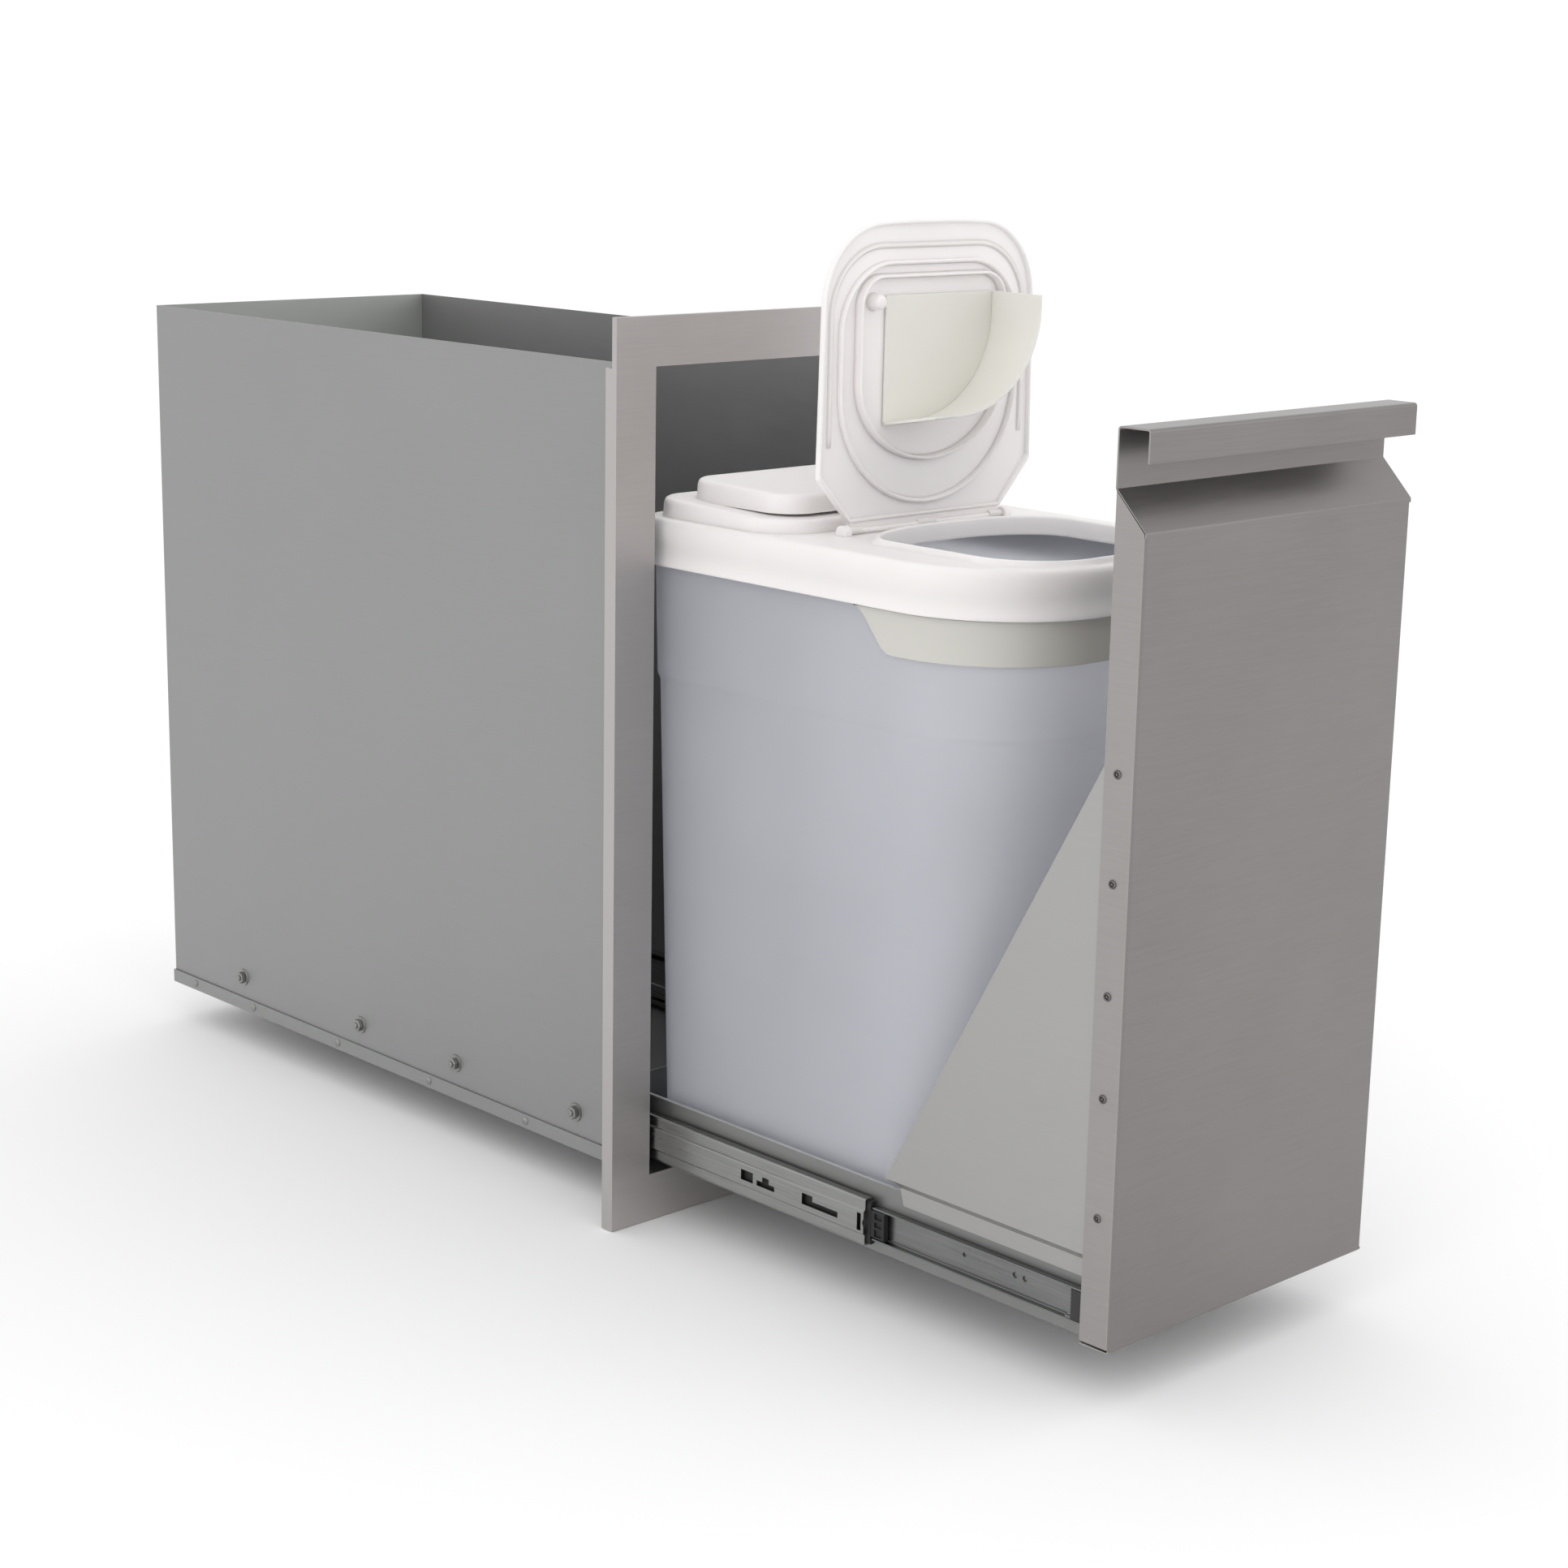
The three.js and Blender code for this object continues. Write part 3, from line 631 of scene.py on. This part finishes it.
def make_slide_nuts():
    """A washer, a nut and the end of a stud for each bolt that holds a slide to the wall."""
    washer = [(0.01, 0.0), (7.4, 0.0), (7.5, 0.3), (7.2, 1.1), (5.6, 1.2), (0.01, 1.2)]
    nut = [(0.01, 1.0), (4.6, 1.0), (5.2, 1.5), (5.2, 4.4), (4.5, 5.0), (0.01, 5.0)]
    stud = [(0.01, 4.0), (2.6, 4.0), (2.6, 6.0), (2.1, 6.5), (0.01, 6.5)]
    for index, y in enumerate(NUT_PLACES, start=1):
        place = (WALL_FACE, y, NUT_Z)
        build = Build()
        build.loft(turned(washer, 28, place))
        build.loft(turned(nut, 6, place, twist=0.35 * index))
        build.loft(turned(stud, 16, place))
        both_sides(f"slide_nut_{index}", build, "enclosure", FASTENER, f"slide_bolt_{index}")


def make_pan_screws():
    """Round heads along the pan's flange."""
    head = [(0.01, 1.3), (0.9, 1.3), (1.6, 1.25), (2.6, 0.95), (3.2, 0.3), (3.2, -0.1), (0.01, -0.1)]
    for index, y in enumerate(SCREW_PLACES, start=1):
        build = Build()
        build.loft(turned(head, 20, (FLANGE_FACE, y, SCREW_Z)))
        name = f"pan_screw_head_{index}"
        both_sides(name, build, "enclosure", FASTENER, f"pan_screw_{index}")


# ---- slides ----------------------------------------------------------------------------------


def slide_section(points, radius=1.1, thickness=SHEET):
    return sheet_section([(x, z + SLIDE_Z) for x, z in points], thickness, radius)


def box(build, x, y, z):
    """A box between pairs of x and y, and heights above the slides' centre line."""
    low, high = SLIDE_Z + z[0], SLIDE_Z + z[1]
    build.prism([(y[0], low), (y[1], low), (y[1], high), (y[0], high)], x[0], x[1], "x")


def make_middle_members():
    """C-shaped steel with punched windows, an end slot and a round notch in its front edge."""
    build = Build()
    section = slide_section([
        (131.6, 16.9), (137.2, 16.9), (137.2, 9.3), (138.8, 8.1),
        (138.8, -8.1), (137.2, -9.3), (137.2, -16.9), (131.6, -16.9),
    ], 0.9)
    build.prism(section, MIDDLE_FRONT, MIDDLE_FRONT + SLIDE_LENGTH, "y")
    windows = Build()
    slots = (
        ((26, 63), (-4, 0.5)), ((52, 63), (0.4, 4.5)),
        ((92, 111), (-4, 0)), ((98, 105), (-0.1, 4)),
        ((115, 128), (-4, 4)),
        ((500, 512), (-3, 3)),
        ((2.5, 6.5), (-6.5, 6.5)),
    )
    for (start, end), z in slots:
        box(windows, MIDDLE_CUT, (MIDDLE_FRONT + start, MIDDLE_FRONT + end), z)
    notch = [(MIDDLE_FRONT + u, SLIDE_Z + v) for u, v in arc(-2.2, 0, 3.4, 3.4, 0, 345, 23)]
    windows.prism(notch, *MIDDLE_CUT, "x")
    both_sides("middle_member", build, "slide_middles", ZINC, "slide_middle", windows)


def make_inner_members():
    """A narrow channel with screw holes and two small end tabs."""
    build = Build()
    section = slide_section([(135.2, 11.7), (130.1, 11.7), (130.1, -11.7), (135.2, -11.7)], 1.2)
    build.prism(section, INNER_FRONT, INNER_FRONT + SLIDE_LENGTH, "y")
    holes = Build()
    for y, radius in ((-377, 2.2), (-386, 2.2), (-330, 1.6), (-200, 2.2), (0, 2.2), (60, 2.2)):
        ring = [(y + u, SLIDE_Z + 2 + v) for u, v in arc(0, 0, radius, radius, 0, 350, 17)]
        holes.prism(ring, 126.0, 133.0, "x")
    for low in (-10.9, 8.9):
        tab = [(130.3, low), (135.0, low), (135.0, low + 2.0), (130.3, low + 2.0)]
        build.prism([(x, SLIDE_Z + z) for x, z in tab], INNER_FRONT + 9.4, INNER_FRONT + 14.0, "y")
    both_sides("inner_member", build, "drawer", DARK_ZINC, "slide_inner", holes)


def make_retainers():
    """The ball retainers: a thin channel with jaws along its edges and a recessed nose."""
    build = Build()
    channel_front = RETAINER_FRONT + RETAINER_NOSE
    section = slide_section([(131.6, 14.3), (135.9, 14.3), (135.9, -14.3), (131.6, -14.3)], 0.24, 0.5)
    build.prism(section, channel_front, RETAINER_BACK, "y")
    for low in (12.85, -15.9):
        jaw = [(131.6, low), (135.7, low), (135.7, low + 3.05), (131.6, low + 3.05)]
        build.prism([(x, SLIDE_Z + z) for x, z in jaw], channel_front, RETAINER_BACK, "y")
    nose = [(131.4, -10.4), (135.0, -10.4), (135.9, -9.4), (135.9, 9.4), (135.0, 10.4), (131.4, 10.4)]
    build.prism([(x, SLIDE_Z + z) for x, z in nose], RETAINER_FRONT, channel_front + 4, "y")
    recesses = Build()
    for z in ((-8.6, -3.4), (-1.6, 2.2), (4.4, 8.6)):
        box(recesses, (134.6, 137.0), (RETAINER_FRONT + 2.4, RETAINER_FRONT + 9.5), z)
    both_sides("ball_retainer", build, "inner_cages", BLACK_PLASTIC, "inner_cage", recesses)


# ---- bin -------------------------------------------------------------------------------------


def ease(share):
    """A smooth step from 0 to 1."""
    share = min(1.0, max(0.0, share))
    return share * share * (3 - 2 * share)


def bin_outline(z, inset=0.0):
    """The bin widens upwards and steps out a little at its shoulder."""
    rise = (z - BIN_BOTTOM) / (BIN_TOP - BIN_BOTTOM)
    step = SHOULDER_STEP * ease((SHOULDER + SHOULDER_RISE - z) / SHOULDER_RISE)

    def blend(low, high):
        return low + (high - low) * rise

    outline = rounded(
        blend(BIN_FOOT["half"], LID["half"] - RIM_INSET) - step,
        blend(BIN_FOOT["front"], LID["front"] + RIM_INSET) + step,
        blend(BIN_FOOT["back"], LID["back"] - RIM_INSET) - step,
        blend(BIN_FOOT["front_radius"], LID["front_radius"] - RIM_INSET),
        blend(BIN_FOOT["back_radius"], LID["back_radius"] - RIM_INSET),
        inset,
    )
    return at_height(outline, z)


def make_bin():
    """One thin shell: round foot, leaning wall with a shoulder, rolled rim, and the inside."""
    build = Build()
    foot = [(5.5, 0.0), (3.2, 0.35), (1.4, 1.4), (0.4, 3.2), (0.0, 5.6)]
    rings = [bin_outline(BIN_BOTTOM + lift, inset) for inset, lift in foot]
    heights = [60, 120, 200, 280, 340, 380, 396, 398, 399.5, 401, 402.5, 404, 406, 420, 450, 480, 505]
    rings += [bin_outline(z) for z in heights]
    rim = [
        (-0.3, 509.6), (-1.6, 510.6), (-2.0, 512), (-2.0, 515.8), (-1.4, 517.3), (0.6, 517.6), (1.8, 516.9),
        (2, 515),
    ]
    rings += [bin_outline(z, inset) for inset, z in rim]
    inner = [(2.0, z) for z in (480, 420, 404, 401, 398, 396, 340, 200, 60)]
    inner += [(2.3, 34), (4.2, 30), (8, 28.7)]
    rings += [bin_outline(z, inset) for inset, z in inner]
    build.loft(rings)
    piece("bin_shell", build, "bin", BIN_PLASTIC, ["bin"], sharp=50)


def make_grip():
    """A strip round the bin's front just under the lid, its lower edge rising at both ends."""
    top = SKIRT_BOTTOM - 0.7
    end_drop = 0.8
    outline = [(x, y) for x, y, _ in bin_outline(top)]
    quarter = len(outline) // 4
    corners = outline[-quarter:] + outline[:quarter]
    side, corner_start = corners[-1]
    reach = [GRIP_START + (corner_start - GRIP_START) * i / 8 for i in range(8)]
    plan = [(-side, y) for y in reach] + corners + [(side, y) for y in reversed(reach)]
    build = Build()
    columns = []
    for i, (x, y) in enumerate(plan):
        bottom = top - end_drop - (GRIP_DROP - end_drop) * ease((GRIP_START - y) / GRIP_RAMP)
        ahead = Vector(plan[min(i + 1, len(plan) - 1)])
        behind = Vector(plan[max(i - 1, 0)])
        along = (ahead - behind).normalized()
        outward = Vector((along.y, -along.x))

        def at(offset, z):
            lean = -(top - z) * 0.02
            spot = Vector((x, y)) + outward * (offset + lean)
            return (spot.x, spot.y, z)

        columns.append([
            at(0.5, top), at(2.2, top), at(2.6, top - 0.5), at(2.6, bottom + 0.9),
            at(2.3, bottom + 0.2), at(1.7, bottom), at(0.5, bottom),
        ])
    build.loft(columns)
    piece("bin_grip_strip", build, "bin", GRIP_PLASTIC, ["bin_grip"], sharp=50)


# ---- lid -------------------------------------------------------------------------------------


def lid_ring(inset, z):
    """The lid's outline at a height."""
    return at_height(rounded(**LID, inset=inset), z)


def hole_ring(inset, z):
    """The opening's outline at a height."""
    return at_height(rounded(**HOLE, inset=inset), z)


def step_ring(inset, front, front_radius, back_radius, lean, level):
    """The outline of a raised step, whose height rises towards the back by its lean."""
    outline = rounded(LID["half"] - inset, front, LID["back"] - inset, front_radius, back_radius)
    return [(x, y, level + lean * y) for x, y in outline]


def deck_ring(share):
    """The deck between the opening's collar and the skirt: it falls away from the collar."""
    ring = []
    for (x0, y0, _), (x1, y1, _) in zip(hole_ring(-2.4, 0), lid_ring(4.6, 0)):
        reach = math.hypot(x1 - x0, y1 - y0)
        away = reach * share ** 1.7
        z = COLLAR_TOP - (COLLAR_TOP - DECK) * ease(away / 6)
        ring.append((x0 + (x1 - x0) * away / reach, y0 + (y1 - y0) * away / reach, z))
    return ring


def add_lid_base(build):
    """Skirt, deck, collar and the thin underside as one closed skin."""
    skirt = [
        (3.0, 487.0), (2.4, 486.0), (1.2, 485.5), (0.3, 485.9), (0.0, 487.2), (0.5, 489.5), (1.4, 493.0),
        (1.9, 497.5), (1.6, 501.5), (0.7, 505.5), (0.1, 509.5), (0.0, 513.5), (0.5, 516.6), (1.6, 518.8),
        (3.0, 520.0),
    ]
    rings = [lid_ring(inset, z) for inset, z in skirt]
    rings += [deck_ring(i / 16) for i in range(16, -1, -1)]
    lip = [(-1.2, 524.8), (-0.4, 524.2), (0.0, 523.2), (0.0, 518), (0.0, 513), (-0.3, 511.6), (-1.0, 511),
           (-1.7, 511.6), (-2.0, 513), (-2.0, 518)]
    rings += [hole_ring(inset, z) for inset, z in lip]
    rings += [lid_ring(inset, z) for inset, z in ((5.0, 518.0), (3.4, 516.8), (3.0, 514.0))]
    build.loft(rings, close_path=True)


def add_lid_steps(build):
    """Two raised steps behind the opening, one on the other."""
    first = dict(inset=9, front=-126, front_radius=40, back_radius=26, lean=0.032)
    second = dict(inset=27, front=-112, front_radius=24, back_radius=24, lean=0.02)
    for step, low, high in ((first, 519.6, 534.0), (second, 532.6, 548.4)):
        profile = [(-1.6, low), (-0.7, low + 0.9), (-0.1, low + 2.4), (0.4, high - 5), (0.9, high - 2.8),
                   (2.0, high - 1.0), (3.6, high - 0.2), (5.4, high)]
        rings = []
        for inset, z in profile:
            lean = step["lean"] * (z - low) / (high - low)
            radii = step["front_radius"] - inset, step["back_radius"] - inset
            rings.append(step_ring(step["inset"] + inset, step["front"] + inset, *radii, lean, z))
        build.loft(rings)


def make_lid():
    build = Build()
    add_lid_base(build)
    add_lid_steps(build)
    near, far = HINGE_POST
    for side in (-1, 1):
        post = [(HINGE_Y - 5, 519.5), (HINGE_Y + 5, 519.5)] + arc(HINGE_Y, HINGE_Z, 5, 5, 0, 180, 12)
        build.prism(post, side * near, side * far, "x")
    piece("lid_shell", build, "lid", WHITE_PLASTIC, ["lid"], sharp=50)


# ---- flap ------------------------------------------------------------------------------------


def ridge(build, outline, profile):
    """A raised ring on the flap's underside from (inset, height below the plate) pairs."""
    rings = [at_height(outline(inset), PLATE_BACK + 0.3 - height) for inset, height in profile]
    build.loft(rings, close_path=True)


def add_outer_ridge(build):
    """A low ridge along the flap's tip and sides that passes outside the opening's collar."""
    def side_path(inset):
        outline = rounded(98.8, -199.5, -20, 50, 20, inset)
        quarter = len(outline) // 4
        front = outline[-quarter:] + outline[:quarter]
        end = 98.8 - inset
        return [(-end, y) for y in (-60, -64, -70)] + front + [(end, y) for y in (-70, -64, -60)]

    profile = [
        (-1.2, 0.0), (-0.2, 0.5), (0.2, 1.2), (0.9, 1.5), (1.6, 1.5), (2.2, 1.2), (2.5, 0.5), (3.4, 0.0),
    ]
    paths = [side_path(inset) for inset, _ in profile]
    columns = []
    for i in range(len(paths[0])):
        fade = ease(min(i, len(paths[0]) - 1 - i) / 2 + 0.05)
        column = [(*path[i], 2.4 - height * fade) for path, (_, height) in zip(paths, profile)]
        columns.append(column + [(*paths[-1][i], 2.9), (*paths[0][i], 2.9)])
    build.loft(columns)


def add_plate(build):
    """The flap's plate with a rolled edge."""
    profile = [
        (3.0, 2.4), (2.9, 1.0), (2.5, -0.2), (1.6, -0.7), (0.6, -0.4), (0.1, 0.6), (0.0, 2.6),
        (0.3, 3.8), (1.1, 4.6), (2.6, 4.9),
    ]
    build.loft([at_height(flap_outline(inset), z) for inset, z in profile])


def add_seal_rings(build):
    """The ring that plugs the opening and the taller one round the scoop."""
    def plug(inset):
        return d_outline(-97.5, 90.5, 82.5, 50, inset)

    def scoop_ring(inset):
        return d_outline(-104.5, 74, 58, 22, inset)

    ridge(build, plug, [
        (-0.1, 0.0), (0.0, 0.8), (0.0, 3.0), (0.6, 4.1), (1.4, 4.3), (2.2, 4.1), (2.8, 3.0), (3.0, 0.8),
        (3.8, 0.0),
    ])
    ridge(build, scoop_ring, [
        (-1.0, 0.0), (-0.2, 0.8), (0.0, 6.0), (0.5, 7.0), (1.1, 7.2), (1.7, 7.0), (2.2, 6.0), (2.4, 0.8),
        (3.2, 0.0),
    ])


def add_peg(build):
    """The peg that the scoop clips on to."""
    profile = [
        (0.02, -10.5), (1.8, -10.5), (3.4, -10.2), (4.5, -9.6), (5.1, -8.4), (5.4, -4.0), (5.7, -1.0),
        (6.6, 0.2),
    ]
    rings = []
    for radius, height in profile:
        rings.append(at_height(arc(-57.6, -160, radius, radius, 0, 345, 23), height + PLATE_BACK))
    build.loft(rings)


def add_hinge_edge(build):
    """A heel block along the hinge, three knuckles and the pin."""
    heel = [
        (-8.5, 2.6), (-7.6, 1.2), (-6.0, 0.4), (-1.0, 0.4), (-0.8, 1.0), (-0.8, 4.2), (-1.4, 4.8),
        (-8.5, 4.8),
    ]
    build.prism(heel, -HEEL_HALF, HEEL_HALF, "x")
    knuckle = arc(-0.4, 0.6, 2.9, 2.9, 0, 345, 23)
    for low, high in ((-79.5, -66), (-9, 9), (66, 79.5)):
        build.prism(knuckle, low, high, "x")
    barrel = [(1.6, -85.5), (2.0, -85.0), (2.0, 85.0), (1.6, 85.5)]
    build.loft(turned(barrel, 16, (0, 0, 0)))


def make_flap():
    build = Build()
    add_plate(build)
    add_outer_ridge(build)
    add_seal_rings(build)
    add_peg(build)
    add_hinge_edge(build)
    build.moved(stand_up())
    piece("flap_shell", build, "flap", WHITE_PLASTIC, ["flap"], sharp=50)


# ---- scoop -----------------------------------------------------------------------------------


def make_scoop():
    """A flat back, and a wall that follows its right and lower edges and draws in towards its free edge."""
    build = Build()
    back, wall = 1.8, SCOOP_WALL

    def line(share, inset):
        draft = 9.0 * share
        right, near = 64 - inset - draft / 3, -73 - inset - draft
        points = [(right, -163.8)]
        points += arc(right - 80, near - 72, 80, 72, 0, 90, 20)
        points += [(-31, near), (-46, near)]
        return points

    rounding = [(0.5, back - wall), (0.0, back - wall + 0.5), (0.0, back - 0.5), (0.5, back)]
    build.loft([at_height(line(0, inset) + [(-46 + inset, -164.5 + inset)], z) for inset, z in rounding])
    sections = []
    for share in (0.0, 0.03, 0.5, 0.97, 1.0):
        edge = 0.35 if share in (0.0, 1.0) else 0.0
        outer = line(share, edge)
        inner = line(share, wall - edge)
        z = back - SCOOP_DEPTH * share
        sections.append(at_height(outer + inner[::-1], z))
    build.loft(sections[::-1])
    build.moved(stand_up())
    piece("scoop_shell", build, "scoop", CREAM_PLASTIC, ["scoop"], sharp=50)


# ---- stage, light and camera -----------------------------------------------------------------


def make_stage():
    """A wide pale floor just under the part."""
    z = cad_box[0][2] - 0.0005
    reach = 30.0
    corners = [(-reach, -reach, z), (reach, -reach, z), (reach, reach, z), (-reach, reach, z)]
    mesh = bpy.data.meshes.new("studio_floor")
    mesh.from_pydata(corners, [], [(0, 1, 2, 3)])
    floor = bpy.data.objects.new("studio_floor", mesh)
    bpy.context.scene.collection.objects.link(floor)
    mesh.materials.append(node_material("pale_floor", (0.96, 0.96, 0.96), 0.9)[0])


def area_light(name, position, target, size, power):
    data = bpy.data.lights.new(name, "AREA")
    data.shape = "RECTANGLE"
    data.size, data.size_y = size
    data.energy = power
    light = bpy.data.objects.new(name, data)
    bpy.context.scene.collection.objects.link(light)
    light.location = position
    light.rotation_euler = (Vector(target) - Vector(position)).to_track_quat("-Z", "Y").to_euler()


def make_lights():
    world = bpy.data.worlds.new("soft_studio")
    bpy.context.scene.world = world
    world.use_nodes = True
    background = world.node_tree.nodes["Background"]
    background.inputs["Color"].default_value = (1, 1, 1, 1)
    background.inputs["Strength"].default_value = 1.08
    bpy.context.scene.view_settings.view_transform = "Standard"
    centre = (0, -0.1, 0.3)
    area_light("key", (-2.6, -1.6, 2.8), centre, (2.4, 2.4), 11)
    area_light("fill", (1.8, -3.0, 1.6), centre, (2.0, 2.0), 7)


def make_camera():
    azimuth = math.radians(CAMERA_AZIMUTH)
    elevation = math.radians(CAMERA_ELEVATION)
    roll = math.radians(CAMERA_ROLL)
    back = Vector((
        math.sin(azimuth) * math.cos(elevation),
        -math.cos(azimuth) * math.cos(elevation),
        math.sin(elevation),
    ))
    level = Vector((math.cos(azimuth), math.sin(azimuth), 0))
    upright = back.cross(level)
    right = level * math.cos(roll) + upright * math.sin(roll)
    up = back.cross(right)
    data = bpy.data.cameras.new("photo_camera")
    data.lens = CAMERA_LENS
    data.sensor_width = 36
    data.clip_end = 100
    camera = bpy.data.objects.new("photo_camera", data)
    bpy.context.scene.collection.objects.link(camera)
    rotation = Matrix((right, up, back)).transposed().to_4x4()
    camera.matrix_world = Matrix.Translation(Vector(CAMERA_PLACE) * MM) @ rotation
    bpy.context.scene.camera = camera


# ---- assembly --------------------------------------------------------------------------------

make_camera()
make_lights()
make_stage()
dress_cad()
make_drawer_front()
make_rivets()
make_slide_nuts()
make_pan_screws()
make_middle_members()
make_inner_members()
make_retainers()
make_bin()
make_grip()
make_lid()
make_flap()
make_scoop()
